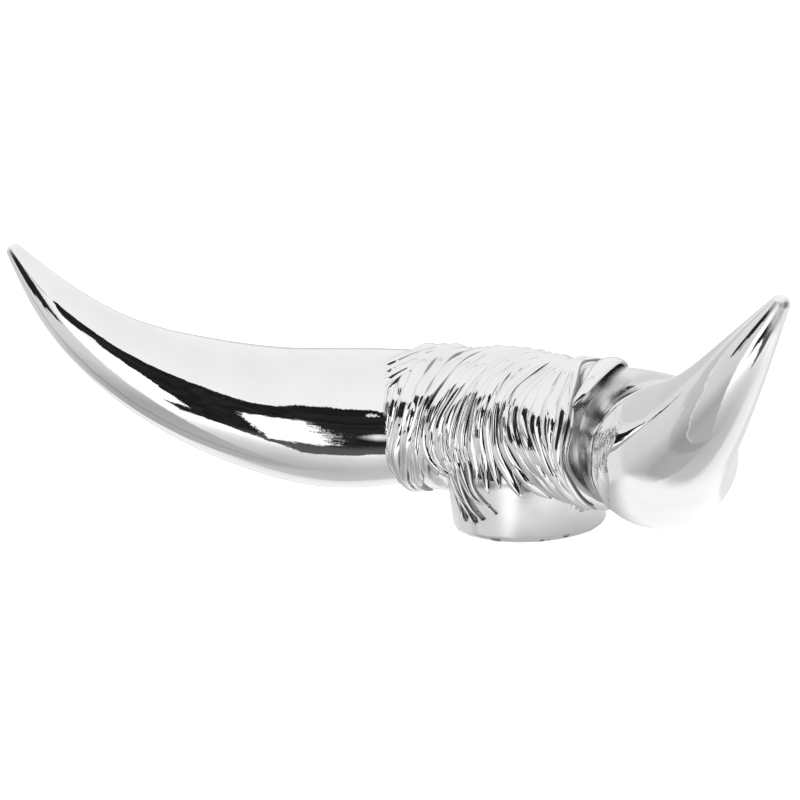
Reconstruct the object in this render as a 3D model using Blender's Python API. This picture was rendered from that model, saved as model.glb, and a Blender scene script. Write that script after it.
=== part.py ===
"""Chromed bull-horn ornament: two hollow cast horns held in a collar of sculpted hair on a round foot.

The span between the horns runs along X, both horns curve forward, towards -Y, and up. The origin is the
middle of the foot's underside.
"""

import math
import random

import bmesh
import bpy
import numpy
from mathutils import Matrix, Vector

MM = 0.001
WELD = 0.01 * MM

# Horns. Each knot is span, depth and height from the horns' common axis, and the radius there.
# The first is the root's end, inside the collar, and the last is where the rounded tip starts.
AXIS_HEIGHT = 33.5 * MM
HORN_KNOTS = (
    (24.0 * MM, 0.0 * MM, -0.5 * MM, 22.6 * MM),
    (39.4 * MM, 0.0 * MM, -0.5 * MM, 22.6 * MM),
    (60.6 * MM, -16.2 * MM, 0.8 * MM, 24.0 * MM),
    (75.2 * MM, -37.8 * MM, 7.0 * MM, 21.8 * MM),
    (90.8 * MM, -56.9 * MM, 17.0 * MM, 18.2 * MM),
    (108.9 * MM, -72.2 * MM, 30.3 * MM, 13.3 * MM),
    (126.8 * MM, -82.1 * MM, 48.5 * MM, 8.2 * MM),
    (142.1 * MM, -85.8 * MM, 67.4 * MM, 2.6 * MM),
)
HORN_WALL = 2.5 * MM
HORN_STATIONS = 22
HORN_SIDES = 24
TIP_LENGTH = 1.8 * MM
# The rounded tip: shares of its length, and of the radius where it starts
TIP_ROUNDING = ((0.6, 0.75), (1.0, 0.3))
CORE_SIDES = 12
CORE_LEAST_RADIUS = 4.0 * MM
JOINT_GAP = 0.3 * MM
SOCKET_STATIONS = 6

# Hair collar: a round casting about the same axis, a little lower and further forward than the horns
COLLAR_LEFT = -39.0 * MM
COLLAR_RIGHT = 31.0 * MM
COLLAR_RADIUS = 23.9 * MM
COLLAR_DROP = 0.9 * MM
COLLAR_FORWARD = 0.6 * MM
COLLAR_INNER_RADIUS = 15.0 * MM
# How far, in mm, the crown stands above the collar's round, by span in mm
CROWN_SWELL = (
    (-37.5, 0),
    (-30, 0),
    (-22, -0.6),
    (-9, 1.2),
    (1, 1.1),
    (13, -0.7),
    (22, -0.1),
    (30, 0.2),
)

# Foot: a turned round, from its underside up, that the hair hangs over
FOOT_REST_RADIUS = 23.0 * MM
FOOT_RADIUS = 25.6 * MM
FOOT_TOP_RADIUS = 26.8 * MM
FOOT_EDGE_HEIGHT = 2.8 * MM
FOOT_SHOULDER_HEIGHT = 17.5 * MM
FOOT_TOP_HEIGHT = 25.0 * MM
FOOT_SIDES = 32

# Hair. Angles are in degrees about the axis: 0 is the front, 90 the top, 180 the back, -90 the underside.
HAIR_COLUMNS = 32
ROWS_ROUND = 44
UNDERSIDE = -95.0
LOCK_HEIGHT = 1.5 * MM
LOCK_BLUNTNESS = 0.45
LOWEST_HAIR = 6.0 * MM
HAIR_SINK = 0.5 * MM
# The skin passes from the collar's round to the foot's wall between these sines of the angle below the axis
WALL_RISE_START = 0.1
WALL_RISE_REACH = 0.4
LEAST_COSINE = 0.1
# A lock leans along the span on either side of the angle where it lies square:
# up to the crown and down to its tip
SQUARE_ANGLE = 5.0
UP_LEAN_END = 62.0
DOWN_LEAN_END = -42.0
DOWN_LEAN_GROWTH = 1.8
MOST_DOWN_LEAN = 1.15
BACK_LEAN_START = 120.0
# How far, in mm, a lock that crosses the front at the first number has moved along the span by then
UP_LEAN = (
    (-40, -1),
    (-36, 4),
    (-28, 6),
    (-20, 9),
    (-10, 7.5),
    (0, 5),
    (8, 2.5),
    (15, 0.5),
    (22, -3),
    (29, -3.6),
    (31, 4.5),
)
DOWN_LEAN = (
    (-40, 1),
    (-36, -2),
    (-30, -6),
    (-22, -4),
    (-15, 0),
    (-8, 3),
    (0, 7),
    (7, 10),
    (14, 12),
    (20, 9),
    (31, 3),
)
# The angles between which the front, crown and nape locks lie, and how far a lock's ends stray from them
FRONT_START = 58
# The angle at which a front lock ends, by where it crosses the front in mm
FRONT_END = (
    (-40, -95),
    (-27, -88),
    (-23, -50),
    (-8, -30),
    (4, -36),
    (8, -40),
    (12, -50),
    (20, -62),
    (31, -66),
)
CROWN_START = 138
CROWN_END = 24
NAPE_START = 104
NAPE_END = 258
NAPE_END_OVER_FOOT = 222
STRAY = 8
# Locks with a route of their own, as width, height and (span in mm, angle) from root to tip
LOOSE_LOCK_SIDES = 6
LOCK_TIP_SHARE = 0.16
LOCK_TIP_HEIGHT = 0.35
LOOSE_LOCKS = {
    "forelock_left": (
        5.0 * MM,
        1.6 * MM,
        ((-19, 12), (-20, -6), (-18, -22), (-14.5, -34), (-10, -41), (-4, -46)),
    ),
    "forelock_middle": (
        4.6 * MM,
        1.8 * MM,
        ((-15, 10), (-14, -12), (-12, -26), (-8, -35), (-3, -40), (1.5, -43)),
    ),
    "forelock_right": (
        4.6 * MM,
        1.6 * MM,
        ((-10, 5), (-9, -12), (-6.5, -25), (-3, -33), (1, -38), (4.5, -41)),
    ),
    "broad_lock": (
        7.6 * MM,
        1.4 * MM,
        ((31, 128), (32.5, 108), (33.6, 88), (34.4, 70), (34.2, 54), (31, 36)),
    ),
    "upper_tuft": (
        3.4 * MM,
        0.9 * MM,
        ((-34, 84), (-37, 76), (-39.5, 68), (-42, 61), (-44, 55), (-45.5, 49)),
    ),
    "middle_tuft": (
        3.4 * MM,
        0.9 * MM,
        ((-33, 72), (-36, 63), (-38.5, 55), (-41, 47), (-43, 41), (-44.5, 36)),
    ),
    "lower_tuft": (
        3.0 * MM,
        0.8 * MM,
        ((-34, 56), (-36.5, 47), (-39, 40), (-41.5, 34), (-43.5, 30), (-45.5, 27)),
    ),
}
CHROME = (0.80, 0.80, 0.81, 1.0)


def clear_scene():
    for thing in list(bpy.data.objects):
        bpy.data.objects.remove(thing, do_unlink=True)


def new_collection(name):
    collection = bpy.data.collections.new(name)
    bpy.context.scene.collection.children.link(collection)
    return collection


def chrome(name, roughness):
    material = bpy.data.materials.new(name)
    material.use_nodes = True
    shader = material.node_tree.nodes["Principled BSDF"]
    shader.inputs["Base Color"].default_value = CHROME
    shader.inputs["Metallic"].default_value = 1.0
    shader.inputs["Roughness"].default_value = roughness
    return material


def new_object(name, bm, collection):
    bmesh.ops.recalc_face_normals(bm, faces=bm.faces)
    mesh = bpy.data.meshes.new(name)
    bm.to_mesh(mesh)
    bm.free()
    thing = bpy.data.objects.new(name, mesh)
    collection.objects.link(thing)
    return thing


def hide_cutter(thing):
    thing.hide_render = True
    thing.display_type = "WIRE"


def add_boolean(thing, operation, other, solver="EXACT"):
    boolean = thing.modifiers.new(operation.title() + " " + other.name, "BOOLEAN")
    boolean.operation = operation
    boolean.object = other
    boolean.solver = solver


def between(pairs, x):
    """The value at x on straight lines between the pairs."""
    if x <= pairs[0][0]:
        return pairs[0][1]
    for (x0, y0), (x1, y1) in zip(pairs, pairs[1:]):
        if x <= x1:
            return y0 + (y1 - y0) * (x - x0) / (x1 - x0)
    return pairs[-1][1]


def ease(s):
    s = min(max(s, 0.0), 1.0)
    return s * s * (3 - 2 * s)


def smooth_line(knots, count):
    """Evenly spaced points on a natural cubic spline through the knots, by the length of its chords."""
    knots = numpy.array(knots)
    lengths = numpy.linalg.norm(numpy.diff(knots[:, :3], axis=0), axis=1)
    at = numpy.concatenate(([0.0], numpy.cumsum(lengths)))
    slopes = numpy.diff(knots, axis=0) / lengths[:, None]
    system = numpy.eye(len(knots))
    turns = numpy.zeros_like(knots)
    for i in range(1, len(knots) - 1):
        system[i, i - 1 : i + 2] = lengths[i - 1], 2 * (lengths[i - 1] + lengths[i]), lengths[i]
        turns[i] = 6 * (slopes[i] - slopes[i - 1])
    bends = numpy.linalg.solve(system, turns)
    line = []
    for t in numpy.linspace(0, at[-1], count):
        i = min(int(numpy.searchsorted(at, t, "right")) - 1, len(lengths) - 1)
        a = (at[i + 1] - t) / lengths[i]
        b = 1 - a
        bend = ((a**3 - a) * bends[i] + (b**3 - b) * bends[i + 1]) * lengths[i] ** 2 / 6
        line.append(Vector(a * knots[i] + b * knots[i + 1] + bend))
    return line


def horn_line():
    """Stations of a right horn from the end inside the collar to its tip, in the part's own frame."""
    line = smooth_line(HORN_KNOTS, HORN_STATIONS)
    onward = (line[-1] - line[-2]).to_3d().normalized()
    tip = line[-1]
    for reach, narrowed in TIP_ROUNDING:
        line.append(Vector((*(tip.to_3d() + onward * TIP_LENGTH * reach), tip.w * narrowed)))
    return [(station.to_3d() + Vector((0, 0, AXIS_HEIGHT)), station.w) for station in line]


def swept_tube(name, stations, sides, collection):
    """A closed tube along the stations, made as a bevelled curve and turned into a mesh with welded caps."""
    curve = bpy.data.curves.new(name, "CURVE")
    curve.dimensions = "3D"
    curve.bevel_depth = 1.0
    curve.bevel_resolution = sides // 2 - 2
    curve.use_fill_caps = True
    spline = curve.splines.new("POLY")
    spline.points.add(len(stations) - 1)
    for point, (place, radius) in zip(spline.points, stations):
        point.co = (*place, 1.0)
        point.radius = radius
    guide = bpy.data.objects.new(name + "_line", curve)
    collection.objects.link(guide)
    bpy.context.view_layer.update()
    mesh = bpy.data.meshes.new_from_object(guide.evaluated_get(bpy.context.evaluated_depsgraph_get()))
    bpy.data.objects.remove(guide, do_unlink=True)
    bm = bmesh.new()
    bm.from_mesh(mesh)
    bmesh.ops.remove_doubles(bm, verts=bm.verts, dist=WELD)
    return new_object(name, bm, collection)


def build_horn(name, side, parts, cutters, material):
    """A horn on the +X (side 1) or -X (side -1) end, hollow from the root to where it grows thin."""
    stations = [(Vector((side * place.x, place.y, place.z)), radius) for place, radius in horn_line()]
    horn = swept_tube(name, stations, HORN_SIDES, parts)
    least = CORE_LEAST_RADIUS + HORN_WALL
    core_stations = [(place, radius - HORN_WALL) for place, radius in stations if radius > least]
    outside = core_stations[0][0] - Vector((side * HORN_WALL, 0, 0))
    core_stations.insert(0, (outside, core_stations[0][1]))
    core = swept_tube(name + "_casting_core", core_stations[::2] + [core_stations[-1]], CORE_SIDES, cutters)
    hide_cutter(core)
    add_boolean(horn, "DIFFERENCE", core)
    finish(horn, material)


def finish(thing, material):
    thing.data.materials.clear()
    thing.data.materials.append(material)
    thing.data.shade_smooth()
    thing.data.set_sharp_from_angle(angle=math.radians(40))


def skin(span, angle, height=0.0):
    """Place at an angle about the axis and a height above the bare casting.

    The casting is the collar's round or, lower down at the front and back, the foot's wall.
    """
    turn = math.radians(angle)
    rise = math.sin(turn)
    away = COLLAR_RADIUS + between(CROWN_SWELL, span / MM) * MM * ease(rise)
    over_foot = (FOOT_TOP_RADIUS - HAIR_SINK) ** 2 - span**2
    if rise < 0 < over_foot:
        wall = math.sqrt(over_foot) / max(abs(math.cos(turn)), LEAST_COSINE)
        wall = min(wall, (AXIS_HEIGHT - COLLAR_DROP - LOWEST_HAIR) / -rise)
        away = max(away, away + (wall - away) * ease((-rise - WALL_RISE_START) / WALL_RISE_REACH))
    away += height
    across = -math.cos(turn) * away - COLLAR_FORWARD
    return Vector((span, across, AXIS_HEIGHT - COLLAR_DROP + rise * away))


def flow(start, angle):
    """Span position, at an angle, of the hair that crosses the front at start."""
    up = between(UP_LEAN, start / MM) * MM
    down = between(DOWN_LEAN, start / MM) * MM
    if angle < SQUARE_ANGLE:
        share = (SQUARE_ANGLE - angle) / (SQUARE_ANGLE - DOWN_LEAN_END)
        return start + down * min(share, MOST_DOWN_LEAN) ** DOWN_LEAN_GROWTH
    over = up * ease((angle - SQUARE_ANGLE) / (UP_LEAN_END - SQUARE_ANGLE))
    under = down * MOST_DOWN_LEAN**DOWN_LEAN_GROWTH
    down_the_back = (angle - BACK_LEAN_START) / (360 + UNDERSIDE - BACK_LEAN_START)
    return start + over + (under - over) * ease(down_the_back)


def lock_ends(start, column, draw):
    """The angles between which a column's locks lie. Neighbours are out of step, so that locks overlap."""
    stray = draw.uniform(-STRAY, STRAY)
    if column % 2:
        return ((CROWN_START + stray, CROWN_END + draw.uniform(-STRAY, STRAY)),)
    nape_end = NAPE_END_OVER_FOOT if abs(start) < FOOT_RADIUS else NAPE_END
    front = (FRONT_START + stray, between(FRONT_END, start / MM))
    return (front, (NAPE_START + draw.uniform(-STRAY, STRAY), nape_end - draw.uniform(0, STRAY)))


def lock_relief(ends, angle):
    """How high a column's locks stand at an angle: each is a long lens that is thin at both ends."""
    height = 0.0
    for first, last in ends:
        share = (angle - first) / (last - first)
        if 0 < share < 1:
            height = max(height, LOCK_HEIGHT * math.sin(math.pi * share) ** LOCK_BLUNTNESS)
    return height


def collar_hair(parts):
    """The locks as a relief on one grid that follows the hair's flow, rolled round the axis and closed."""
    draw = random.Random(11)
    bm = bmesh.new()
    bmesh.ops.create_grid(bm, x_segments=HAIR_COLUMNS, y_segments=ROWS_ROUND, size=1.0)
    step = (COLLAR_RIGHT - COLLAR_LEFT) / HAIR_COLUMNS
    starts = [COLLAR_LEFT + step * column for column in range(HAIR_COLUMNS + 1)]
    ends = [lock_ends(start, column, draw) for column, start in enumerate(starts)]
    for vert in bm.verts:
        column = round((vert.co.x + 1) / 2 * HAIR_COLUMNS)
        angle = UNDERSIDE + (vert.co.y + 1) * 180
        vert.co = skin(flow(starts[column], angle), angle, lock_relief(ends[column], angle))
    bmesh.ops.remove_doubles(bm, verts=bm.verts, dist=WELD)
    rims = [edge for edge in bm.edges if edge.is_boundary]
    inner = bmesh.ops.extrude_edge_only(bm, edges=rims)["geom"]
    for vert in inner:
        if isinstance(vert, bmesh.types.BMVert):
            from_axis = Vector((0, vert.co.y, vert.co.z - AXIS_HEIGHT))
            vert.co -= from_axis * (1 - COLLAR_INNER_RADIUS / from_axis.length)
    bmesh.ops.holes_fill(bm, edges=bm.edges)
    return new_object("hair_collar", bm, parts)


def loose_lock(name, width, height, route, cutters):
    """A flattened round swept along the route's places on the skin, thin and capped at both ends."""
    bm = bmesh.new()
    places = [skin(span * MM, angle) for span, angle in route]
    ring = bmesh.ops.create_circle(bm, segments=LOOSE_LOCK_SIDES, radius=1.0)["verts"]
    first = edges = list({edge for vert in ring for edge in vert.link_edges})
    stood = Matrix.Identity(4)
    last = len(places) - 1
    for step, place in enumerate(places):
        along = (places[min(step + 1, last)] - places[max(step - 1, 0)]).normalized()
        turn = math.radians(route[step][1])
        across = along.cross(Vector((0, -math.cos(turn), math.sin(turn)))).normalized()
        outward = across.cross(along)
        full = max(math.sin(math.pi * (0.06 + 0.90 * step / last)) ** 0.6, LOCK_TIP_SHARE)
        thick = height * (LOCK_TIP_HEIGHT + (1 - LOCK_TIP_HEIGHT) * full)
        frame = Matrix((across * width / 2 * full, outward * thick, along)).transposed().to_4x4()
        frame.translation = place
        if step:
            grown = bmesh.ops.extrude_edge_only(bm, edges=edges)["geom"]
            ring = [part for part in grown if isinstance(part, bmesh.types.BMVert)]
            edges = [part for part in grown if isinstance(part, bmesh.types.BMEdge)]
        bmesh.ops.transform(bm, matrix=frame @ stood.inverted(), verts=ring)
        stood = frame
    bmesh.ops.contextual_create(bm, geom=first)
    bmesh.ops.contextual_create(bm, geom=edges)
    lock = new_object(name, bm, cutters)
    hide_cutter(lock)
    return lock


def turned_foot(cutters):
    """The foot's profile, from its underside to the middle of its top, turned about its axis."""
    profile = [(0.0, 0.0), (FOOT_REST_RADIUS, 0.0)]
    for degrees in (30, 60, 90):
        turn = math.radians(degrees)
        radius = FOOT_REST_RADIUS + (FOOT_RADIUS - FOOT_REST_RADIUS) * math.sin(turn)
        profile.append((radius, FOOT_EDGE_HEIGHT * (1 - math.cos(turn))))
    shoulder = FOOT_TOP_HEIGHT - FOOT_SHOULDER_HEIGHT
    for degrees in (0, 25, 50, 75):
        turn = math.radians(degrees)
        radius = FOOT_TOP_RADIUS - shoulder * (1 - math.cos(turn))
        profile.append((radius, FOOT_SHOULDER_HEIGHT + shoulder * math.sin(turn)))
    profile.append((0.0, profile[-1][1]))
    bm = bmesh.new()
    points = [bm.verts.new((radius, 0, height)) for radius, height in profile]
    edges = [bm.edges.new(pair) for pair in zip(points, points[1:])]
    axis = {"axis": (0, 0, 1), "cent": (0, 0, 0)}
    bmesh.ops.spin(bm, geom=points + edges, angle=math.tau, steps=FOOT_SIDES, use_merge=True, **axis)
    bmesh.ops.remove_doubles(bm, verts=bm.verts, dist=WELD)
    foot = new_object("foot_round", bm, cutters)
    hide_cutter(foot)
    return foot


def horn_socket(name, side, cutters):
    """The room for a horn's root: the horn's own tube, fatter by the gap, from just inside its root's end."""
    line = horn_line()[:SOCKET_STATIONS]
    stations = [(Vector((side * place.x, place.y, place.z)), radius + JOINT_GAP) for place, radius in line]
    place, radius = stations[0]
    onward = (stations[1][0] - place).normalized()
    stations.insert(0, (place - onward * JOINT_GAP, radius))
    socket = swept_tube(name, stations, HORN_SIDES, cutters)
    hide_cutter(socket)
    return socket


def build_collar(parts, cutters, material):
    """Hair, foot and loose locks joined in one casting, with a socket at either end."""
    collar = collar_hair(parts)
    add_boolean(collar, "UNION", turned_foot(cutters), "MANIFOLD")
    for name, (width, height, route) in LOOSE_LOCKS.items():
        add_boolean(collar, "UNION", loose_lock(name, width, height, route, cutters), "MANIFOLD")
    for name, side in (("left_socket", -1), ("right_socket", 1)):
        add_boolean(collar, "DIFFERENCE", horn_socket(name, side, cutters), "MANIFOLD")
    finish(collar, material)


def main():
    clear_scene()
    parts = new_collection("bull horn ornament")
    cutters = new_collection("cutters")
    build_collar(parts, cutters, chrome("chromed hair", 0.08))
    smooth_chrome = chrome("chromed horn", 0.04)
    build_horn("right_horn", 1, parts, cutters, smooth_chrome)
    build_horn("left_horn", -1, parts, cutters, smooth_chrome)


main()
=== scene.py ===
"""Looks of the chromed bull horn ornament: two mirror-bright horns, a collar of sculpted hair and a foot.

Everything is in metres, in the part's own frame: +X along the span, -Y forward, +Z up, and the origin is the
middle of the foot's underside.
"""

import math
import random

import bmesh
import bpy
import numpy
from mathutils import Matrix, Vector


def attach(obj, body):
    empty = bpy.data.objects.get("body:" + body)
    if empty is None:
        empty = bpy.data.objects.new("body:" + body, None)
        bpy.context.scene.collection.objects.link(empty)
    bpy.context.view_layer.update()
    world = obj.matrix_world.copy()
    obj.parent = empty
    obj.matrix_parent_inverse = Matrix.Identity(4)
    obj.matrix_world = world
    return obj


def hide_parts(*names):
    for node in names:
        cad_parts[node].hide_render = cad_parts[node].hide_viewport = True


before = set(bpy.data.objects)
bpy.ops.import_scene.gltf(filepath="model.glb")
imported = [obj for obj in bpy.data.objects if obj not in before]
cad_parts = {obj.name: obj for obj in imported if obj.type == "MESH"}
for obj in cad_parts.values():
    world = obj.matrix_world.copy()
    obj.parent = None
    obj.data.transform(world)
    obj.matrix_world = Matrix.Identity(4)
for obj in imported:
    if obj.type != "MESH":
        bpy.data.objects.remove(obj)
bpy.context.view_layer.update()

MM = 0.001
WELD = 0.002 * MM

# Horns: each knot is span, depth and height from the horns' common axis, and the radius there
AXIS_HEIGHT = 33.5 * MM
HORN_KNOTS = (
    (24.0 * MM, 0.0 * MM, -0.5 * MM, 22.6 * MM),
    (39.4 * MM, 0.0 * MM, -0.5 * MM, 22.6 * MM),
    (60.6 * MM, -16.2 * MM, 0.8 * MM, 24.0 * MM),
    (75.2 * MM, -37.8 * MM, 7.0 * MM, 21.8 * MM),
    (90.8 * MM, -56.9 * MM, 17.0 * MM, 18.2 * MM),
    (108.9 * MM, -72.2 * MM, 30.3 * MM, 13.3 * MM),
    (126.8 * MM, -82.1 * MM, 48.5 * MM, 8.2 * MM),
    (142.1 * MM, -85.8 * MM, 67.4 * MM, 2.6 * MM),
)
HORN_STATIONS = 150
HORN_SIDES = 112
HORN_TRIM = 0.15 * MM
TIP_RINGS = 12
TIP_LEAST = 0.02

# Collar: the round that the hair lies on, a little lower and further forward than the horns' axis
COLLAR_LEFT = -39.0 * MM
COLLAR_RIGHT = 31.0 * MM
COLLAR_RADIUS = 24.4 * MM
COLLAR_DROP = 0.9 * MM
COLLAR_FORWARD = 0.6 * MM
RIM_RADIUS = 21.6 * MM
# How far the crown swells, in mm, by span in mm
CROWN_SWELL = ((-37.5, 0), (-30, 0), (-22, -0.6), (-9, 1.2), (1, 1.1), (13, -0.7), (22, -0.1), (30, 0.2))

# Foot
FOOT_REST_RADIUS = 23.0 * MM
FOOT_RADIUS = 25.6 * MM
FOOT_TOP_RADIUS = 26.8 * MM
FOOT_EDGE_HEIGHT = 2.8 * MM
FOOT_TOP_HEIGHT = 25.0 * MM
FOOT_SHOULDER_HEIGHT = 17.5 * MM
FOOT_EDGE_STEPS = 12
FOOT_SHOULDER_STEPS = 16
FOOT_SHOULDER_STEP = math.radians(5)
FOOT_SEGMENTS = 160

# Hair: angles are in degrees about the axis, 0 at the front, 90 on top, 180 at the back, -90 underneath
UNDERSIDE = -95.0
LOWEST_HAIR = 6.0 * MM
HAIR_SINK = 0.5 * MM
WALL_RISE_START = 0.1
WALL_RISE_REACH = 0.4
LEAST_COSINE = 0.1
BACK_LEAN_START = 120.0
# Guide strands: each one's mean span in mm, and its span at each of the angles
STRAND_ANGLES = (-50, -10, 25, 90)
STRANDS = (
    (-40, (-39.5, -39.0, -39.5, -41.0)),
    (-35, (-39.0, -38.0, -35.0, -31.5)),
    (-29, (-37.0, -31.0, -25.5, -24.5)),
    (-24, (-31.5, -27.0, -23.5, -16.5)),
    (-20, (-27.5, -24.0, -19.0, -11.0)),
    (-16, (-21.5, -19.5, -16.5, -6.0)),
    (-12, (-13.0, -14.5, -12.5, -1.5)),
    (2, (8.5, 1.0, 0.0, 8.0)),
    (8, (19.5, 7.5, 5.5, 12.5)),
    (15, (28.0, 16.5, 11.0, 17.5)),
    (20, (31.0, 23.0, 17.5, 20.5)),
    (29.5, (33.5, 30.0, 31.5, 25.0)),
)
SPREAD_REACH = 1.5 * MM
LEAST_SPREAD = 0.45
MOST_SPREAD = 1.7
# The angle at which the front locks end, by their strand's mean span in mm
FRONT_END = (
    (-40, -95),
    (-27, -84),
    (-23, -46),
    (-8, -24),
    (4, -28),
    (8, -38),
    (12, -50),
    (20, -62),
    (31, -66),
)

# The camera stands where the photograph's did: azimuth, elevation and roll in degrees, and how far off
CAMERA_AZIMUTH = 36.38
CAMERA_ELEVATION = 13.02
CAMERA_ROLL = 3.63
PIXEL = 0.33 * MM
PICTURE = 800
CAMERA_DISTANCE = 2651.56 * PIXEL
AXIS_IN_PICTURE = (525.04, 424.75)
SENSOR = 36.0


class Link:
    """A shader socket that takes part in arithmetic: each operator adds the node that works it out."""

    def __init__(self, tree, socket):
        self.tree = tree
        self.socket = socket

    def math(self, operation, *values):
        """A Math node on this value and the others."""
        sockets = dict(enumerate((self, *values)))
        return self.tree.add("ShaderNodeMath", {"operation": operation}, sockets)

    def __add__(self, other):
        return self.math("ADD", other)

    def __radd__(self, other):
        return self.math("ADD", other)

    def __sub__(self, other):
        return self.math("SUBTRACT", other)

    def __rsub__(self, other):
        return self.tree.add("ShaderNodeMath", {"operation": "SUBTRACT"}, {0: other, 1: self})

    def __mul__(self, other):
        return self.math("MULTIPLY", other)

    def __rmul__(self, other):
        return self.math("MULTIPLY", other)

    def __truediv__(self, other):
        return self.math("DIVIDE", other)

    def highest(self, other):
        return self.math("MAXIMUM", other)

    def step(self, low, high):
        """0 below low, 1 above high, and a smooth rise between them."""
        sockets = {0: self, 1: low, 2: high}
        return self.tree.add("ShaderNodeMapRange", {"interpolation_type": "SMOOTHSTEP"}, sockets)


class Tree:
    """A node tree that is filled by one method."""

    def __init__(self, owner):
        owner.use_nodes = True
        self.nodes = owner.node_tree.nodes
        self.links = owner.node_tree.links
        self.nodes.clear()

    def add(self, kind, settings=None, sockets=None, output=0):
        """A new node, its settings made before its sockets' values or links; gives an output's link."""
        node = self.nodes.new(kind)
        for name, value in (settings or {}).items():
            setattr(node, name, value)
        for key, value in (sockets or {}).items():
            if isinstance(value, Link):
                self.links.new(value.socket, node.inputs[key])
            else:
                node.inputs[key].default_value = value
        return Link(self, node.outputs[output]) if len(node.outputs) else node

    def parts(self, vector):
        """The three numbers that a vector is made of."""
        split = self.add("ShaderNodeSeparateXYZ", sockets={0: vector})
        return [Link(self, output) for output in split.socket.node.outputs]

    def follow(self, value, points, reach):
        """A value read off straight lines between points, for a value between -reach and reach."""
        link = self.add("ShaderNodeFloatCurve", sockets={"Value": (value + reach) / (2 * reach)})
        mapping = link.socket.node.mapping
        curve = mapping.curves[0]
        height = [y for x, y in points]
        low, high = min(height), max(height)
        places = [((x + reach) / (2 * reach), (y - low) / (high - low)) for x, y in points]
        for spot, place in zip(curve.points, (places[0], places[-1])):
            spot.location = place
        for place in places[1:-1]:
            curve.points.new(*place)
        for spot in curve.points:
            spot.handle_type = "VECTOR"
        mapping.update()
        return link * (high - low) + low

    def mix(self, share, first, second):
        """A colour between two others."""
        sockets = {"Factor": share, 6: first, 7: second}
        return self.add("ShaderNodeMix", {"data_type": "RGBA"}, sockets, 2)


def between(pairs, x):
    """The value at x on straight lines between the pairs."""
    if x <= pairs[0][0]:
        return pairs[0][1]
    for (x0, y0), (x1, y1) in zip(pairs, pairs[1:]):
        if x <= x1:
            return y0 + (y1 - y0) * (x - x0) / (x1 - x0)
    return pairs[-1][1]


def ease(s):
    s = min(max(s, 0.0), 1.0)
    return s * s * (3 - 2 * s)


def glide(places, heights, x):
    """The height at x on a smooth line through the heights at the places, and level beyond its ends."""
    x = min(max(x, places[0]), places[-1])
    last = len(places) - 1
    i = next(i for i in range(last) if x <= places[i + 1])
    reach = places[i + 1] - places[i]
    rises = []
    for j in (i, i + 1):
        before, after = max(j - 1, 0), min(j + 1, last)
        rises.append((heights[after] - heights[before]) / (places[after] - places[before]) * reach)
    s = (x - places[i]) / reach
    lean = rises[0] * s * (1 - s) ** 2 - rises[1] * s * s * (1 - s)
    return heights[i] + (heights[i + 1] - heights[i]) * ease(s) + lean


def new_piece(name, bm, material):
    """A smooth mesh object made from the bmesh, with its faces outward."""
    bmesh.ops.recalc_face_normals(bm, faces=bm.faces)
    mesh = bpy.data.meshes.new(name)
    bm.to_mesh(mesh)
    bm.free()
    mesh.materials.append(material)
    mesh.shade_smooth()
    piece = bpy.data.objects.new(name, mesh)
    bpy.context.scene.collection.objects.link(piece)
    return piece


def wrap_tube(bm, around, along, place, shade=None):
    """A grid rolled into a closed tube: place gives a point for a turn from 0 to 1 and a share of the length.

    With shade, a layer of the points, place gives the layer's value too.
    """
    grid = bmesh.ops.create_grid(bm, x_segments=around, y_segments=along, size=1.0)["verts"]
    for vert in grid:
        turn = (vert.co.x + 1) / 2
        spot = place(0.0 if turn > 1 - 0.5 / around else turn, (vert.co.y + 1) / 2)
        if shade:
            spot, vert[shade] = spot
        vert.co = spot
    bmesh.ops.remove_doubles(bm, verts=grid, dist=WELD)
    live = [vert for vert in grid if vert.is_valid]
    open_edges = list({edge for vert in live for edge in vert.link_edges if edge.is_boundary})
    if open_edges:
        bmesh.ops.holes_fill(bm, edges=open_edges)


def spline(knots, count):
    """Evenly spaced points on a natural cubic spline through the knots, by the length of its chords."""
    knots = numpy.array(knots)
    lengths = numpy.linalg.norm(numpy.diff(knots[:, :3], axis=0), axis=1)
    at = numpy.concatenate(([0.0], numpy.cumsum(lengths)))
    slopes = numpy.diff(knots, axis=0) / lengths[:, None]
    system = numpy.eye(len(knots))
    turns = numpy.zeros_like(knots)
    for i in range(1, len(knots) - 1):
        system[i, i - 1 : i + 2] = lengths[i - 1], 2 * (lengths[i - 1] + lengths[i]), lengths[i]
        turns[i] = 6 * (slopes[i] - slopes[i - 1])
    bends = numpy.linalg.solve(system, turns)
    points = []
    for t in numpy.linspace(0, at[-1], count):
        i = min(int(numpy.searchsorted(at, t, "right")) - 1, len(lengths) - 1)
        h = lengths[i]
        a = (at[i + 1] - t) / h
        b = 1 - a
        bend = ((a**3 - a) * bends[i] + (b**3 - b) * bends[i + 1]) * h * h / 6
        points.append(Vector(a * knots[i] + b * knots[i + 1] + bend))
    return points


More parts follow.
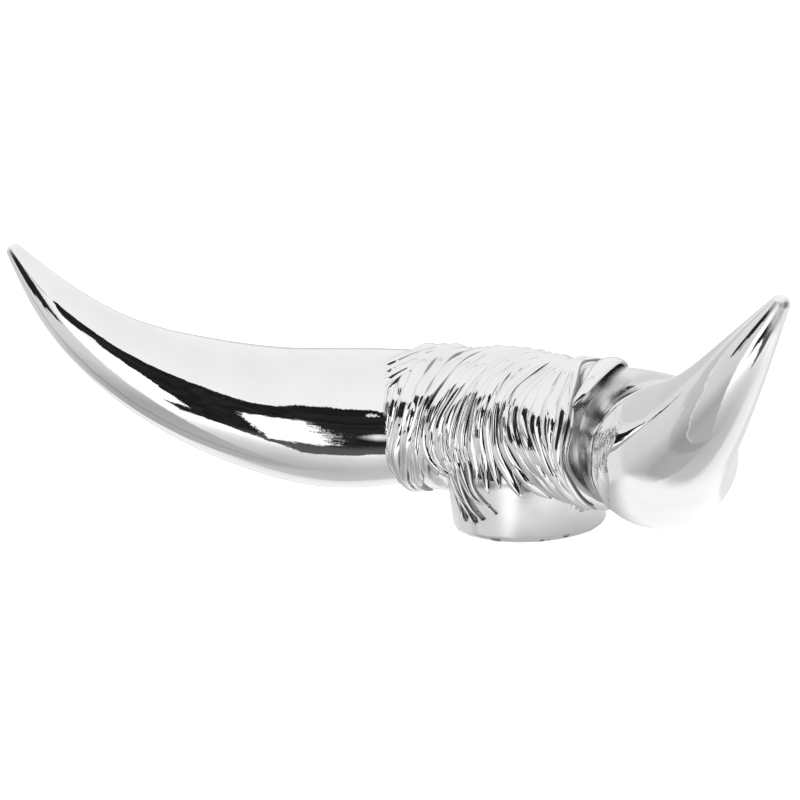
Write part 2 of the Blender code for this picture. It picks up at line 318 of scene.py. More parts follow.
def horn_frames(side):
    """Places, radii and unturned cross axes along a horn, with the rounded tip's rings at the end."""
    line = spline(HORN_KNOTS, HORN_STATIONS)[:-1]
    places = [Vector((side * p.x, p.y, p.z + AXIS_HEIGHT)) for p in line]
    radii = [p.w - HORN_TRIM for p in line]
    onward = (places[-1] - places[-2]).normalized()
    taper = math.atan2(radii[-2] - radii[-1], (places[-1] - places[-2]).length)
    tip, ball = places[-1], radii[-1] / math.cos(taper)
    for ring in range(1, TIP_RINGS + 1):
        turn = taper + (math.pi / 2 - taper) * ring / TIP_RINGS
        places.append(tip + onward * ball * (math.sin(turn) - math.sin(taper)))
        radii.append(ball * max(math.cos(turn), TIP_LEAST))
    frames = []
    cross = Vector((0, 0, 1))
    for i, place in enumerate(places):
        along = (places[min(i + 1, len(places) - 1)] - places[max(i - 1, 0)]).normalized()
        cross = (cross - along * cross.dot(along)).normalized()
        frames.append((place, radii[i], cross, along.cross(cross)))
    return frames


def make_horn(name, side, material):
    frames = horn_frames(side)
    last = len(frames) - 1

    def place(turn, share):
        centre, radius, cross, other = frames[round(share * last)]
        angle = math.tau * turn
        return centre + (cross * math.cos(angle) + other * math.sin(angle)) * radius

    bm = bmesh.new()
    wrap_tube(bm, HORN_SIDES, last, place)
    return new_piece(name, bm, material)


def skin(span, angle, height=0.0):
    """Place at an angle about the axis and a height above the bare casting."""
    turn = math.radians(angle)
    rise = math.sin(turn)
    away = COLLAR_RADIUS + between(CROWN_SWELL, span / MM) * MM * ease(rise)
    over_foot = (FOOT_TOP_RADIUS - HAIR_SINK) ** 2 - span**2
    if rise < 0 < over_foot:
        wall = math.sqrt(over_foot) / max(abs(math.cos(turn)), LEAST_COSINE)
        wall = min(wall, (AXIS_HEIGHT - COLLAR_DROP - LOWEST_HAIR) / -rise)
        away = max(away, away + (wall - away) * ease((-rise - WALL_RISE_START) / WALL_RISE_REACH))
    away += height
    across = -math.cos(turn) * away - COLLAR_FORWARD
    return Vector((span, across, AXIS_HEIGHT - COLLAR_DROP + rise * away))


def flow(start, angle):
    """Span position, at an angle, of the strand that goes by this mean span."""
    spans = [(mean, glide(STRAND_ANGLES, row, angle)) for mean, row in STRANDS]
    front = between(spans, start / MM) * MM
    if angle < BACK_LEAN_START:
        return front
    under = between([(mean, row[0]) for mean, row in STRANDS], start / MM) * MM
    return front + (under - front) * ease((angle - BACK_LEAN_START) / (360 + UNDERSIDE - BACK_LEAN_START))


def spread(start, angle):
    """How far apart the strands lie here, as a share of their mean distance."""
    apart = flow(start + SPREAD_REACH, angle) - flow(start - SPREAD_REACH, angle)
    return min(max(apart / (2 * SPREAD_REACH), LEAST_SPREAD), MOST_SPREAD)


def outward(span, angle):
    """Direction straight out of the bare casting."""
    reach = 0.4 * MM
    wide = skin(span + reach, angle) - skin(span - reach, angle)
    down = skin(span, angle - 1) - skin(span, angle + 1)
    return down.cross(wide).normalized()


SKIN_COLUMNS = 90
SKIN_ROWS = 120
SKIN_SINK = 0.6 * MM
FOOT_SKIN_SINK = 1.0 * MM
FOOT_SKIN_EDGE = 4 * MM
FOOT_SKIN_START = -25
FOOT_SKIN_REACH = 20
STEEPEST_COSINE = 0.2


def make_hair_skin(material):
    """The casting under the locks, with its rims turned in over the horns' roots."""
    bm = bmesh.new()
    rim = 2 / SKIN_COLUMNS

    def place(turn, share):
        angle = UNDERSIDE + 360 * turn
        inner = share < rim / 2 or share > 1 - rim / 2
        start = COLLAR_LEFT + (COLLAR_RIGHT - COLLAR_LEFT) * min(max((share - rim / 2) / (1 - rim), 0), 1)
        span = flow(start, angle)
        on_foot = ease((FOOT_TOP_RADIUS - abs(span)) / FOOT_SKIN_EDGE)
        on_foot *= ease((FOOT_SKIN_START - angle) / FOOT_SKIN_REACH)
        inside = SKIN_SINK + on_foot * FOOT_SKIN_SINK / max(math.cos(math.radians(angle)), STEEPEST_COSINE)
        point = skin(span, angle, -inside)
        if inner:
            from_axis = Vector((0, point.y, point.z - AXIS_HEIGHT))
            point -= from_axis * (1 - RIM_RADIUS / from_axis.length)
        return point

    wrap_tube(bm, SKIN_ROWS, SKIN_COLUMNS, place)
    return new_piece("hair_skin", bm, material)


LOCK_SIDES = 28
LOCK_STATIONS = 40
TOP_SHARE = 0.8
LOCK_ROOT = 1.4 * MM
NOTCH_DEPTH = 0.14
NOTCH_WIDTH = 0.1
NOTCH_SPAN = 1.4
NOTCH_RISE = 0.25
NOTCH_SHADE = 0.6
WAVE_HEIGHT = 0.32 * MM
WAVES_PER_TURN = 9
LOCK_ROUNDNESS = 2.1
LOCK_FULLNESS = 0.75
LOCK_FLAT = 0.2
SWELL_POWER = 0.5
TAPER_POWER = 0.6
LEAST_SHARE = 0.002
LEAST_FULL = 0.03
SIDE_SHADE_START = 0.7
SIDE_SHADE_REACH = 0.2
ROUTE_PLACES = 15
STRAYS_PER_TURN = 4.2
STRAY_SHIFT_PER_MM = 0.16


def lock_height(side, ridge):
    """Height across a lock, for a side from -1 to 1: highest at the ridge, steeper on its shorter side."""
    reach = (side - ridge) / (1 - ridge) if side > ridge else (ridge - side) / (1 + ridge)
    return (1 - min(reach, 1) ** LOCK_ROUNDNESS) ** LOCK_FULLNESS


def add_lock(bm, route, width, height, draw, **shape):
    """A lock swept along a route of (span, angle) on the skin, notched on top and pointed at its tip.

    A place of the route may give a share of the width as its third value. The shape may give its most
    notches and where they start, its ridge (the side where it stands highest), the shares of its length over
    which it swells and tapers, its stations, how far it is lifted off the skin, how much it waves and how
    much painted shade darkens its sides. The painted shade of its sides and notches goes in a layer of its
    points.
    """
    notches = notches_for(draw, shape.get("notches", 3))
    ridge = shape.get("ridge", 0.0)
    swell, taper = shape.get("swell", 0.3), shape.get("taper", 0.5)
    wave, phase = shape.get("wave", 1.0) * WAVE_HEIGHT, draw.uniform(0, math.tau)
    stations = shape.get("stations", LOCK_STATIONS)
    side_shade_strength = shape.get("dark", 1.0)
    notch_start = shape.get("notch_start", 0.0)
    # Painted shade: this layer holds how far each point of the lock is darkened in the hair's colour
    shade = bm.verts.layers.float.get("painted_groove_shade") or bm.verts.layers.float.new("painted_groove_shade")
    knots = [(span, angle * MM, width * (share[0] if share else 1), 0) for span, angle, *share in route]
    line = spline(knots, stations + 1)
    frames = []
    for point in line:
        angle = point.y / MM
        lift = shape.get("lift", -0.1 * MM) + wave * math.sin(phase + math.radians(angle) * WAVES_PER_TURN)
        frames.append([skin(point.x, angle, lift), outward(point.x, angle), point.z / 2])
    last = len(frames) - 1
    for i, entry in enumerate(frames):
        along = (frames[min(i + 1, last)][0] - frames[max(i - 1, 0)][0]).normalized()
        out = (entry[1] - along * entry[1].dot(along)).normalized()
        share = i / last
        full = min(1.0, (max(share, LEAST_SHARE) / swell) ** SWELL_POWER)
        full *= min(1.0, max((1 - share) / taper, 0.0) ** TAPER_POWER)
        entry[:] = [entry[0], out, along.cross(out), max(full, LEAST_FULL), entry[2]]

    def place(turn, share):
        centre, out, across, full, half = frames[round(share * last)]
        on_top = turn < TOP_SHARE
        half *= full
        if not on_top:
            angle = math.pi * (1 + (turn - TOP_SHARE) / (1 - TOP_SHARE))
            return centre + across * math.cos(angle) * half + out * LOCK_ROOT * math.sin(angle), 1.0
        side = math.cos(math.pi * turn / TOP_SHARE)
        notch = min(sum(math.exp(-(((side - spot) / NOTCH_WIDTH) ** 2)) for spot in notches), 1)
        notch *= ease((share - notch_start) / NOTCH_RISE)
        tall = height * (LOCK_FLAT + (1 - LOCK_FLAT) * full) * lock_height(side, ridge)
        tall *= 1 - NOTCH_DEPTH * notch * full
        # Painted shade on the lock's steep sides and in its notches
        dark = ease((abs(side) - SIDE_SHADE_START) / SIDE_SHADE_REACH) * side_shade_strength
        dark = max(dark, NOTCH_SHADE * notch * full)
        return centre + across * side * half + out * tall, dark

    wrap_tube(bm, LOCK_SIDES, stations, place, shade)


def lock_route(start, first, last, wander, draw):
    """Places along the hair's flow from one angle to another, straying a little beside its neighbours."""
    phase = draw.uniform(-0.8, 0.8) + start / MM * STRAY_SHIFT_PER_MM
    places = []
    for step in range(ROUTE_PLACES):
        angle = first + (last - first) * step / (ROUTE_PLACES - 1)
        stray = wander * math.sin(phase + math.radians(angle) * STRAYS_PER_TURN)
        places.append((flow(start, angle) + stray, angle, spread(start, angle)))
    return places


def notches_for(draw, most):
    """Where across a lock its fine grooves run."""
    count = draw.randint(0, most)
    first = -NOTCH_SPAN / 2
    return [(i + 1) * NOTCH_SPAN / (count + 1) + first + draw.uniform(-0.1, 0.1) for i in range(count)]


# How many locks there are, where their rows start and end, and the angles at which the back's locks end
FRONT_LOCKS = 23
OVERLYING_LOCKS = 26
BACK_LOCKS = 46
FIRST_FRONT_START = COLLAR_LEFT + 0.4 * MM
FIRST_OVERLYING_START = COLLAR_LEFT + 0.8 * MM
LAST_FRONT_START = 27.8 * MM
BACK_MARGIN = 1.0 * MM
NAPE_END = 258
FOOT_BACK_END = 216
WANDER = 0.5 * MM


def make_front_locks(material):
    """The main locks, side by side from the crown over the front, each a little turned like a shingle."""
    draw = random.Random(5)
    bm = bmesh.new()
    reach = LAST_FRONT_START - FIRST_FRONT_START
    for i in range(FRONT_LOCKS):
        start = FIRST_FRONT_START + reach * (i + draw.uniform(-0.2, 0.2)) / (FRONT_LOCKS - 1)
        end = between(FRONT_END, start / MM) + draw.uniform(-4, 4)
        route = lock_route(start, draw.uniform(118, 140), end, WANDER, draw)
        ridge = 0.2 + 0.25 * math.sin(i * 1.1) + draw.uniform(-0.15, 0.15)
        width, height = draw.uniform(3.7, 4.6) * MM, draw.uniform(1.0, 1.6) * MM
        notch_start = draw.uniform(0.3, 0.6)
        shape = {"ridge": ridge, "swell": 0.08, "taper": 0.14, "stations": 60, "notch_start": notch_start}
        add_lock(bm, route, width, height, draw, **shape)
    return new_piece("front_locks", bm, material)


def make_overlying_locks(material):
    """Shorter locks that lie over the main ones and end in points on them."""
    draw = random.Random(14)
    bm = bmesh.new()
    reach = LAST_FRONT_START - FIRST_OVERLYING_START
    for i in range(OVERLYING_LOCKS):
        share = (i + draw.uniform(-0.4, 0.4)) / (OVERLYING_LOCKS - 1)
        start = FIRST_OVERLYING_START + reach * min(max(share, 0), 1)
        least = between(FRONT_END, start / MM)
        first = draw.uniform(-5, 85)
        end = max(first - draw.uniform(50, 85), least + 2)
        route = lock_route(start, first, end, WANDER, draw)
        width, height = draw.uniform(2.0, 3.4) * MM, draw.uniform(1.3, 1.7) * MM
        shape = {"notches": 1, "ridge": draw.uniform(-0.1, 0.5), "swell": 0.45, "taper": 0.6}
        add_lock(bm, route, width, height, draw, **shape)
    return new_piece("overlying_locks", bm, material)


# Locks with routes of their own: width, height and (span in mm, angle) from root to tip
FORELOCKS = (
    (4.0, 1.6, ((-21, 24), (-23, 6), (-22.6, -10), (-19.5, -26), (-14.5, -37), (-10, -44), (-8.5, -50))),
    (2.4, 1.9, ((-18.5, 20), (-19.6, 2), (-19.2, -14), (-16.4, -28), (-11.6, -37), (-5.6, -43), (-3.6, -46))),
    (3.6, 1.8, ((-15.5, 18), (-16.2, 0), (-15.4, -16), (-13.8, -28), (-9.2, -37), (-3, -41))),
    (2.2, 2.1, ((-13, 15), (-13.6, -3), (-12.0, -18), (-9.8, -29), (-6.6, -37), (-0.4, -43.5))),
    (3.2, 1.9, ((-10.8, 10), (-11, -8), (-10, -20), (-6.6, -30), (-3.6, -35), (2.6, -37))),
    (2.0, 1.8, ((-8, 6), (-7.4, -10), (-5.4, -22), (-3.2, -30), (0.8, -36), (4.8, -41))),
)
TUFTS = (
    (3.8, 1.2, ((-33, 90), (-36.5, 80), (-40, 70), (-43.4, 61), (-46.4, 54), (-49, 48))),
    (3.2, 1.1, ((-32, 80), (-35.5, 71), (-39, 61), (-42.2, 53), (-45.2, 46), (-47.8, 40))),
    (3.4, 1.2, ((-32, 68), (-35.5, 59), (-39, 50), (-42.2, 43), (-45, 37), (-47.4, 33))),
    (3.0, 1.1, ((-33, 57), (-36.5, 48), (-40, 39), (-43, 33), (-46.2, 28), (-49.6, 24))),
)
EDGE_LOCKS = (
    (2.2, 1.7, ((-41.5, 74), (-40.6, 48), (-39.2, 22), (-38.6, 4), (-38.9, -20), (-37.5, -44))),
    (1.1, 1.7, ((24.4, 72), (28.4, 52), (31.0, 34), (30.4, 12), (29.9, -6), (30.6, -26), (32.6, -46))),
    (1.0, 1.6, ((21.5, 58), (23, 34), (25.4, 20), (28.2, 8), (29.6, -4))),
)
BROAD_LOCK = (7.6, 1.5, ((31, 128), (32.5, 108), (33.6, 88), (34.4, 70), (34.2, 54), (31, 36)))


def make_loose_locks(material):
    """The forelock on the foot, tufts on the left horn, the hair's two edges and the right's broad lock."""
    bm = bmesh.new()
    draw = random.Random(3)
    styles = (
        (FORELOCKS, {"notches": 2, "ridge": 0.2, "wave": 0.8}),
        (TUFTS, {"notches": 1, "lift": 0.5 * MM, "wave": 0.4, "taper": 0.35}),
        # dark sets how strong the painted shade on a lock's sides is
        (EDGE_LOCKS, {"notches": 1, "wave": 0.5, "dark": 0.2}),
        ((BROAD_LOCK,), {"notches": 0, "wave": 0.4, "dark": 0.3}),
    )
    for locks, style in styles:
        for width, height, places in locks:
            route = [(span * MM, angle) for span, angle in places]
            add_lock(bm, route, width * MM, height * MM, draw, **style)
    return new_piece("loose_locks", bm, material)


def make_back_locks(material):
    """Long locks from the crown down the back to the nape, with shorter ones over them."""
    draw = random.Random(8)
    bm = bmesh.new()
    for i in range(BACK_LOCKS):
        over = i % 2
        reach = COLLAR_RIGHT - COLLAR_LEFT - 2 * BACK_MARGIN
        start = COLLAR_LEFT + BACK_MARGIN + reach * i / (BACK_LOCKS - 1)
        end = FOOT_BACK_END if abs(start) < FOOT_RADIUS else NAPE_END
        first = draw.uniform(120, 165) if over else draw.uniform(95, 112)
        if over:
            end = min(end, first + draw.uniform(50, 85))
        route = lock_route(start, first, end + draw.uniform(-6, 4), WANDER, draw)
        width = (draw.uniform(2.0, 3.2) if over else draw.uniform(3.8, 4.8)) * MM
        height = (1.3 if over else 1.1) * MM
        shape = {"ridge": draw.uniform(-0.4, 0.4), "taper": 0.6 if over else 0.3, "wave": 0.4}
        add_lock(bm, route, width, height, draw, **shape)
    return new_piece("back_locks", bm, material)


def make_foot(material):
    """The foot's profile turned about its axis."""
    profile = [(0.0, 0.0), (FOOT_REST_RADIUS, 0.0)]
    for step in range(1, FOOT_EDGE_STEPS + 1):
        turn = math.pi / 2 * step / FOOT_EDGE_STEPS
        radius = FOOT_REST_RADIUS + (FOOT_RADIUS - FOOT_REST_RADIUS) * math.sin(turn)
        profile.append((radius, FOOT_EDGE_HEIGHT * (1 - math.cos(turn))))
    shoulder = FOOT_TOP_HEIGHT - FOOT_SHOULDER_HEIGHT
    for step in range(FOOT_SHOULDER_STEPS):
        turn = FOOT_SHOULDER_STEP * step
        radius = FOOT_TOP_RADIUS - shoulder * (1 - math.cos(turn))
        profile.append((radius, FOOT_SHOULDER_HEIGHT + shoulder * math.sin(turn)))
    profile.append((0.0, profile[-1][1]))
    bm = bmesh.new()
    points = [bm.verts.new((radius, 0, height)) for radius, height in profile]
    edges = [bm.edges.new(pair) for pair in zip(points, points[1:])]
    axis = {"axis": (0, 0, 1), "cent": (0, 0, 0)}
    bmesh.ops.spin(bm, geom=points + edges, angle=math.tau, steps=FOOT_SEGMENTS, use_merge=True, **axis)
    bmesh.ops.remove_doubles(bm, verts=bm.verts, dist=WELD)
    return new_piece("foot", bm, material)


WHITE = (1, 1, 1, 1)
CHROME = (0.87, 0.87, 0.87, 1)
HAZY_CHROME = (0.83, 0.83, 0.84, 1)
# Painted shade: the grey that the hair's lock sides and notches are darkened to
PAINTED_GROOVE_SHADE_GREY = (0.30, 0.30, 0.31, 1)
# Painted shade: the grey that the crease at the right horn's root is darkened to
PAINTED_CREASE_SHADE_GREY = (0.28, 0.28, 0.285, 1)
WORN_BLACK = (0.1, 0.1, 0.1, 1)
PEEL_DEPTH = 0.2 * MM
# Where the horns' roughness and the painted shade in the right one's root crease change, each from its first
# to its last trace
ROOT_START = (10 * MM, 20 * MM)
ROOT_END = (48 * MM, 60 * MM)
ROOT_FRONT = (-34 * MM, -20 * MM)
CREASE_END = (52 * MM, 66 * MM)
CREASE_FRONT = (-46 * MM, -32 * MM)
CREASE_TOP = (AXIS_HEIGHT - 8 * MM, AXIS_HEIGHT - 1 * MM)
DULL_POINT = (137 * MM, 142 * MM)
# The wear on the foot's lower edge: which of its noise turns dark, and up to what height
WEAR_SPOTS = (0.56, 0.6)
WEAR_TOP = (0.5 * MM, 2.2 * MM)
# How much roughness each of these adds
GROOVE_DULLNESS = 0.08
ROOT_DULLNESS = 0.24
CREASE_DULLNESS = 0.28
POINT_DULLNESS = 0.4
# How strongly painted shade darkens the right horn's root crease
CREASE_SHADE_STRENGTH = 0.78


def chrome(name, roughness, ripple, shaded_grooves=False, rooted=False, worn=False):
    """Polished chrome plate with a fine orange peel and slight haze.

    The hair's is dull in its grooves, and painted shade darkens its lock sides and notches to grey. The
    horns' is dull at their points and in the right one's root, where painted shade darkens the crease low at
    its front.
    The foot's is worn in spots along its lower edge.
    """
    material = bpy.data.materials.new(name)
    tree = Tree(material)
    place = tree.add("ShaderNodeTexCoord", output=3)
    peel = tree.add("ShaderNodeTexNoise", sockets={"Vector": place, "Scale": 900.0, "Detail": 2.0})
    wave = tree.add("ShaderNodeTexNoise", sockets={"Vector": place, "Scale": 160.0, "Detail": 1.0})
    haze = tree.add("ShaderNodeTexNoise", sockets={"Vector": place, "Scale": 60.0, "Detail": 4.0})
    height = peel * 0.2 + wave
    bump = tree.add("ShaderNodeBump", sockets={"Height": height, "Strength": ripple, "Distance": PEEL_DEPTH})
    colour = tree.mix(haze.step(0.35, 0.75), CHROME, HAZY_CHROME)
    dull = haze.step(0.3, 0.8) * roughness + roughness * 0.6
    if shaded_grooves:
        # Painted shade: the lock sides and notches are darkened to grey by this layer, which also dulls them
        painted_groove_shade = tree.add("ShaderNodeAttribute", {"attribute_name": "painted_groove_shade"}, output=2)
        colour = tree.mix(painted_groove_shade.step(0.1, 1.0), colour, PAINTED_GROOVE_SHADE_GREY)
        dull = dull + painted_groove_shade * GROOVE_DULLNESS
    if rooted:
        across, forward, up = tree.parts(place)
        right = across.step(*ROOT_START)
        root = (1 - across.step(*ROOT_END)) * right * forward.step(*ROOT_FRONT)
        # Painted shade: the crease low at the front of the right horn's root is darkened to grey
        crease = (1 - across.step(*CREASE_END)) * right * forward.step(*CREASE_FRONT)
        crease = crease * (1 - up.step(*CREASE_TOP))
        point = (across * across).step(DULL_POINT[0] ** 2, DULL_POINT[1] ** 2)
        colour = tree.mix(crease * CREASE_SHADE_STRENGTH, colour, PAINTED_CREASE_SHADE_GREY)
        dull = (dull + root * ROOT_DULLNESS).highest(crease * CREASE_DULLNESS) + point * POINT_DULLNESS
    if worn:
        up = tree.parts(place)[2]
        spots = tree.add("ShaderNodeTexNoise", sockets={"Vector": place, "Scale": 150.0, "Detail": 2.0})
        wear = spots.step(*WEAR_SPOTS) * (1 - up.step(*WEAR_TOP))
        colour = tree.mix(wear, colour, WORN_BLACK)
    sockets = {"Base Color": colour, "Metallic": 1.0, "Roughness": dull, "Normal": bump}
    shader = tree.add("ShaderNodeBsdfPrincipled", sockets=sockets)
    tree.add("ShaderNodeOutputMaterial", sockets={"Surface": shader})
    return material


# The studio as the chrome mirrors it, in degrees: azimuth is 0 straight ahead of the object.
# How bright each wall is, by elevation
FRONT_LIGHT = (
    (-90, 0.5), (-75, 0.6), (-60, 0.78), (-52, 1.0), (-44, 1.4),
    (2, 1.5), (16, 1.03), (46, 1.0), (90, 0.95),
)
LEFT_LIGHT = (
    (-90, 0.5), (-62, 0.48), (-48, 0.44), (-36, 0.58), (-26, 0.72),
    (5, 0.8), (30, 0.9), (45, 1.0), (90, 0.95),
)
BACK_LIGHT = (
    (-90, 0.55), (-66, 0.62), (-60, 0.90), (-45, 1.0), (-37, 1.02), (-33, 0.84),
    (-8, 0.84), (-2, 0.7), (10, 0.7), (20, 1.0), (90, 0.95),
)
# The dark end of the room: its lower and upper edge, by azimuth
ROOM_FOOT = (
    (2, 18), (6, 15), (12, 16), (17.5, 19), (20, -22), (21, -38), (28, -39), (35, -42),
    (45, -50), (52, -57), (63, -54), (80, -46), (100, -40), (122, -24), (130, 0),
)
ROOM_TOP = (
    (2, 18), (8, 33), (15, 37), (22, 36), (31, 34), (38, 24), (45, 20), (52, 14),
    (57, 12.5), (63, 13), (70, 19), (78, 25), (92, 33), (106, 36), (120, 28), (130, 0),
)
# Walls and zones: low edge, high edge and how soft the edges are, by azimuth and then by elevation
FACING_WALL = (-6, 130, 5)
SIDE_WALL = (-101, -6, 3)
ROOM_WIDTH = (3, 129, 1)
ROOM_SOFTNESS = 0.7
TONGUE = ((9.5, 24, 1.5), (-36, -27, 1))
STREAK = ((-15, 3, 3), (29.5, 32.5, 1.2))
STAND = ((-43, -12, 1), (-3, 34, 1))
SCREEN = ((46, 64, 1), (-43, -10, 1))
LINE = ((-42, -14, 2), (41.2, 43.6, 0.8))
LINE_SLOPE = 0.85
GLEAM = ((-51.6, -50.2, 0.4), (-66, 10, 4))
SHADOW_WIDTH = (-66, -51, 2.5)
SHADOW_LEAN = 0.75
SHADOW_BEND = 15
# How far the edges stray, in degrees, by the broad noise and the fine one
BROAD_STRAY = 5
FINE_STRAY = 4
STAND_STRAY = (6, 16)
# The screen's edges: how ragged, how far they lean, and their slope and where that starts
SCREEN_RAGGED = 9
SCREEN_SIDE_RAGGED = 0.4
SCREEN_LEAN = 0.06
SCREEN_SLOPE = 0.3
SCREEN_SLOPE_START = 44
# How dark or bright each of them is
LINE_DARKNESS = 0.9
STREAK_DARKNESS = 0.6
SHADOW_DARKNESS = 0.2
GLEAM_BRIGHTNESS = 0.25
SCREEN_BRIGHTNESS = 1.4
ROOM_BRIGHTNESS = 0.012
ROOM_HAZE = 0.05
ROOM_GROUND = (34, 46)
ROOM_GROUND_BRIGHTNESS = 0.09
LAMP_BRIGHTNESS = 2.4


def window(value, low, high, soft):
    """1 between low and high, and 0 beyond them."""
    return value.step(low - soft, low + soft) * (1 - value.step(high - soft, high + soft))


def zone(across, upward, place):
    """1 inside a zone of the studio, and 0 beyond it."""
    return window(across, *place[0]) * window(upward, *place[1])


def make_studio():
    """White walls and ceiling, greyer low down, with the dark end of the room and a lit screen in it."""
    world = bpy.data.worlds.new("studio")
    bpy.context.scene.world = world
    tree = Tree(world)
    way = tree.add("ShaderNodeTexCoord")
    across, forward, up = tree.parts(way)
    broad = tree.add("ShaderNodeTexNoise", sockets={"Vector": way, "Scale": 11.0, "Detail": 3.0})
    fine = tree.add("ShaderNodeTexNoise", sockets={"Vector": way, "Scale": 60.0, "Detail": 3.0})
    stray = (broad - 0.5) * BROAD_STRAY + (fine - 0.5) * FINE_STRAY
    turn = across.math("ARCTAN2", forward * -1) * math.degrees(1) + stray
    tall = up.math("ARCSINE") * math.degrees(1) + stray

    front = tree.follow(tall, FRONT_LIGHT, 90)
    left = tree.follow(tall, LEFT_LIGHT, 90)
    back = tree.follow(tall, BACK_LIGHT, 90)
    facing = window(turn, *FACING_WALL)
    aside = window(turn, *SIDE_WALL)
    light = front * facing + left * aside + back * (1 - facing - aside)

    over_foot = (tall - tree.follow(turn, ROOM_FOOT, 180)).step(-ROOM_SOFTNESS, ROOM_SOFTNESS)
    over_top = (tall - tree.follow(turn, ROOM_TOP, 180)).step(-ROOM_SOFTNESS, ROOM_SOFTNESS)
    room = over_foot * (1 - over_top) * window(turn, *ROOM_WIDTH)
    tongue = zone(turn, tall, TONGUE)
    line = zone(turn, tall - turn * LINE_SLOPE, LINE)
    streak = zone(turn, tall, STREAK)
    stand = zone(turn + (fine - 0.5) * STAND_STRAY[0], tall + (broad - 0.5) * STAND_STRAY[1], STAND)
    dark = room.highest(tongue).highest(line * LINE_DARKNESS).highest(streak * STREAK_DARKNESS).highest(stand)

    ragged = (fine - 0.5) * SCREEN_RAGGED
    screen_turn = turn - tall * SCREEN_LEAN + ragged * SCREEN_SIDE_RAGGED
    screen_tall = tall - (turn - SCREEN_SLOPE_START) * SCREEN_SLOPE + ragged
    screen = zone(screen_turn, screen_tall, SCREEN)
    lean = turn + (tall + SHADOW_BEND).highest(0) * SHADOW_LEAN
    shadow = window(lean, *SHADOW_WIDTH)
    gleam = zone(lean, tall, GLEAM)
    light = light * (1 - shadow * SHADOW_DARKNESS) + gleam * GLEAM_BRIGHTNESS
    ground = (tall * -1).step(*ROOM_GROUND) * ROOM_GROUND_BRIGHTNESS
    depth = ROOM_BRIGHTNESS + ground + (broad - 0.4).highest(0) * ROOM_HAZE
    light = light * (1 - dark) + dark * (depth + screen * SCREEN_BRIGHTNESS)

    plain = tree.add("ShaderNodeBackground", sockets={"Color": WHITE, "Strength": LAMP_BRIGHTNESS})
    mirrored = tree.add("ShaderNodeBackground", sockets={"Color": WHITE, "Strength": light})
    ray = tree.add("ShaderNodeLightPath", output=3)
    mixed = tree.add("ShaderNodeMixShader", sockets={0: ray, 1: plain, 2: mirrored})
    tree.add("ShaderNodeOutputWorld", sockets={"Surface": mixed})


FLOOR_PALE = (0.93, 0.93, 0.93, 1)
FLOOR_GLOW = 0.6
FLOOR_REACH = 3.0
SHEET_RADIUS = 56 * MM
SHEET_MIDDLE = (55 * MM, -20 * MM, 0)
SHEET_FADE = 0.75
# Painted shadow: the sheet's glow near the foot, darker where the object would shade the floor
SHEET_PAINTED_SHADOW = (0.5, 0.5, 0.5, 1)
SHEET_FAR = (1.02, 1.02, 1.02, 1)


def pale_floor():
    """Matt and pale, with a glow that makes it white."""
    material = bpy.data.materials.new("pale floor")
    tree = Tree(material)
    glow = {"Emission Color": WHITE, "Emission Strength": FLOOR_GLOW}
    matt = {"Base Color": FLOOR_PALE, "Roughness": 0.9}
    shader = tree.add("ShaderNodeBsdfPrincipled", sockets={**matt, **glow})
    tree.add("ShaderNodeOutputMaterial", sockets={"Surface": shader})
    return material


def fading_floor():
    """Glowing white as the chrome mirrors it, with a painted shadow darker near the foot, and clear at the
    sheet's edge.
    """
    material = bpy.data.materials.new("fading floor")
    tree = Tree(material)
    place = tree.add("ShaderNodeTexCoord", output=3)
    from_foot = tree.add("ShaderNodeVectorMath", {"operation": "LENGTH"}, {0: place}, 1)
    # Painted shadow: the glow is darker near the foot
    glow = tree.mix(from_foot.step(FOOT_RADIUS, 2.4 * FOOT_RADIUS), SHEET_PAINTED_SHADOW, SHEET_FAR)
    sockets = {"Base Color": (0, 0, 0, 1), "Emission Color": glow, "Emission Strength": 1.0}
    shader = tree.add("ShaderNodeBsdfPrincipled", sockets=sockets)
    away = tree.add("ShaderNodeVectorMath", {"operation": "DISTANCE"}, {0: place, 1: SHEET_MIDDLE}, 1)
    clear = tree.add("ShaderNodeBsdfTransparent")
    edge = away.step(SHEET_RADIUS * SHEET_FADE, SHEET_RADIUS)
    faded = tree.add("ShaderNodeMixShader", sockets={0: edge, 1: shader, 2: clear})
    tree.add("ShaderNodeOutputMaterial", sockets={"Surface": faded})
    return material


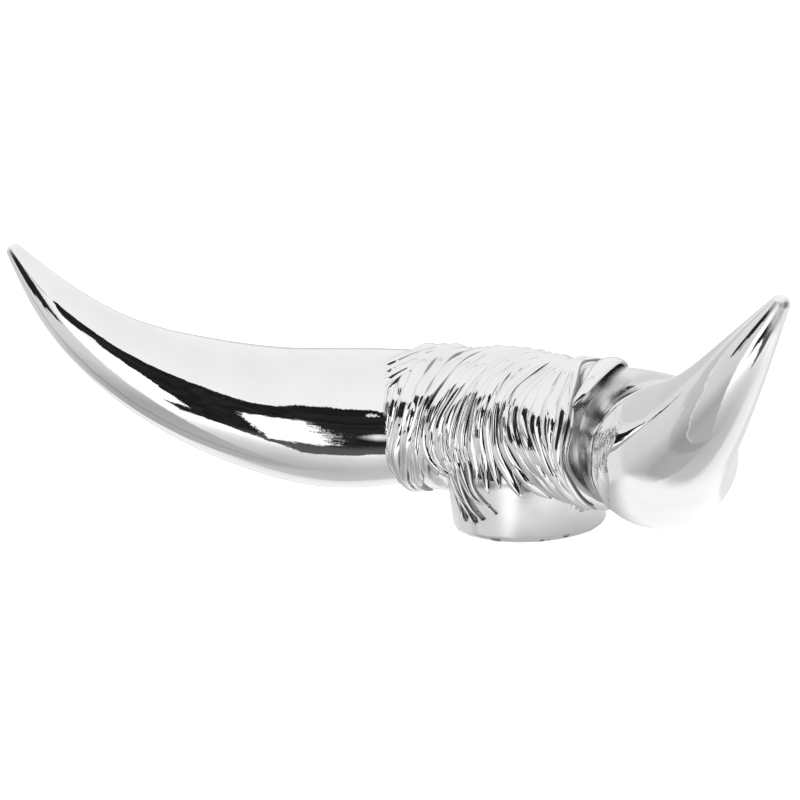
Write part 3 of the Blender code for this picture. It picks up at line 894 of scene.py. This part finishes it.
def make_floor():
    """A wide pale floor that the chrome doesn't mirror, and a round glowing sheet under the object, with a
    painted shadow near the foot, that only the chrome sees.
    """
    bm = bmesh.new()
    bmesh.ops.create_grid(bm, x_segments=1, y_segments=1, size=FLOOR_REACH)
    floor = new_piece("floor", bm, pale_floor())
    floor.visible_glossy = False
    bm = bmesh.new()
    middle = Matrix.Translation(SHEET_MIDDLE)
    bmesh.ops.create_circle(bm, cap_ends=True, segments=96, radius=SHEET_RADIUS, matrix=middle)
    sheet = new_piece("mirrored floor", bm, fading_floor())
    sheet.visible_camera = sheet.visible_diffuse = sheet.visible_shadow = False


def make_camera():
    azimuth = math.radians(CAMERA_AZIMUTH)
    elevation = math.radians(CAMERA_ELEVATION)
    roll = math.radians(CAMERA_ROLL)
    level = Vector((math.cos(azimuth), math.sin(azimuth), 0))
    back = Vector((
        math.sin(azimuth) * math.cos(elevation),
        -math.cos(azimuth) * math.cos(elevation),
        math.sin(elevation),
    ))
    upright = back.cross(level)
    right = level * math.cos(roll) - upright * math.sin(roll)
    up = level * math.sin(roll) + upright * math.cos(roll)
    aside = (AXIS_IN_PICTURE[0] - PICTURE / 2) * PIXEL
    above = (AXIS_IN_PICTURE[1] - PICTURE / 2) * PIXEL
    place = back * CAMERA_DISTANCE - right * aside + up * above + Vector((0, 0, AXIS_HEIGHT))
    data = bpy.data.cameras.new("camera")
    data.sensor_width = SENSOR
    data.lens = SENSOR * CAMERA_DISTANCE / (PICTURE * PIXEL)
    data.clip_start = 0.01
    camera = bpy.data.objects.new("camera", data)
    camera.matrix_world = Matrix.Translation(place) @ Matrix((right, up, back)).transposed().to_4x4()
    bpy.context.scene.collection.objects.link(camera)
    bpy.context.scene.camera = camera


def stand_for(piece, node):
    """The piece takes a CAD node's place."""
    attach(piece, "root")
    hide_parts(node)


make_camera()
make_studio()
make_floor()
bpy.context.scene.view_settings.view_transform = "Standard"
horn_chrome = chrome("mirror chrome", 0.02, 0.16, rooted=True)
foot_chrome = chrome("foot chrome", 0.26, 0.12, worn=True)
hair_chrome = chrome("hair chrome", 0.05, 0.26, True)
stand_for(make_horn("right_horn_skin", 1, horn_chrome), "right_horn")
stand_for(make_horn("left_horn_skin", -1, horn_chrome), "left_horn")
for make in (make_hair_skin, make_front_locks, make_overlying_locks, make_loose_locks, make_back_locks):
    stand_for(make(hair_chrome), "hair_collar")
stand_for(make_foot(foot_chrome), "hair_collar")
